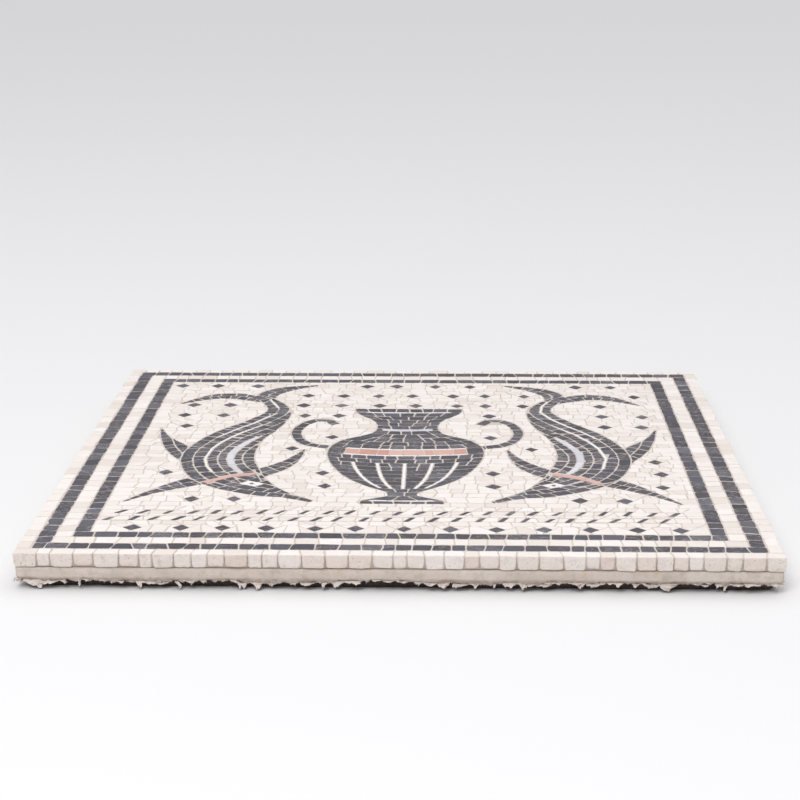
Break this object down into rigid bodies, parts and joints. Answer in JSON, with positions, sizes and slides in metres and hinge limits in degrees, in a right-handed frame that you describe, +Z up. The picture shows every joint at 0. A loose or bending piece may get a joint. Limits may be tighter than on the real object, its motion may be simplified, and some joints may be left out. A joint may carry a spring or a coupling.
{
  "type": "mosaic panel",
  "caption": "A rectangular mosaic panel of hand-cut stone on a mortar slab: white ground with dark diamonds, a double dark border, and two dark dolphins beside a vase.",
  "frame": {"origin": "middle of the underside, on the surface the panel lies on", "axes": "+X runs along the front edge to the right, +Y away from the front edge towards the top of the picture, +Z up out of the mosaic face"},
  "size_m": [0.45, 0.427, 0.023],
  "materials": {
    "white_limestone": "honed",
    "dark_slate": "honed",
    "terracotta_stone": "honed",
    "lime_mortar": "rough cast"
  },
  "bodies": {
    "root": {"mortar_bed": "lime_mortar", "outer_white_front": "white_limestone", "outer_white_right": "white_limestone", "outer_white_back": "white_limestone", "outer_white_left": "white_limestone", "outer_dark_front": "dark_slate", "outer_dark_right": "dark_slate", "outer_dark_back": "dark_slate", "outer_dark_left": "dark_slate", "middle_white_front": "white_limestone", "middle_white_right": "white_limestone", "middle_white_back": "white_limestone", "middle_white_left": "white_limestone", "inner_dark_front": "dark_slate", "inner_dark_right": "dark_slate", "inner_dark_back": "dark_slate", "inner_dark_left": "dark_slate", "white_ground": "white_limestone", "left_dolphin": "dark_slate", "right_dolphin": "dark_slate", "vase": "dark_slate", "vase_band": "terracotta_stone"}
  },
  "joints": []
}
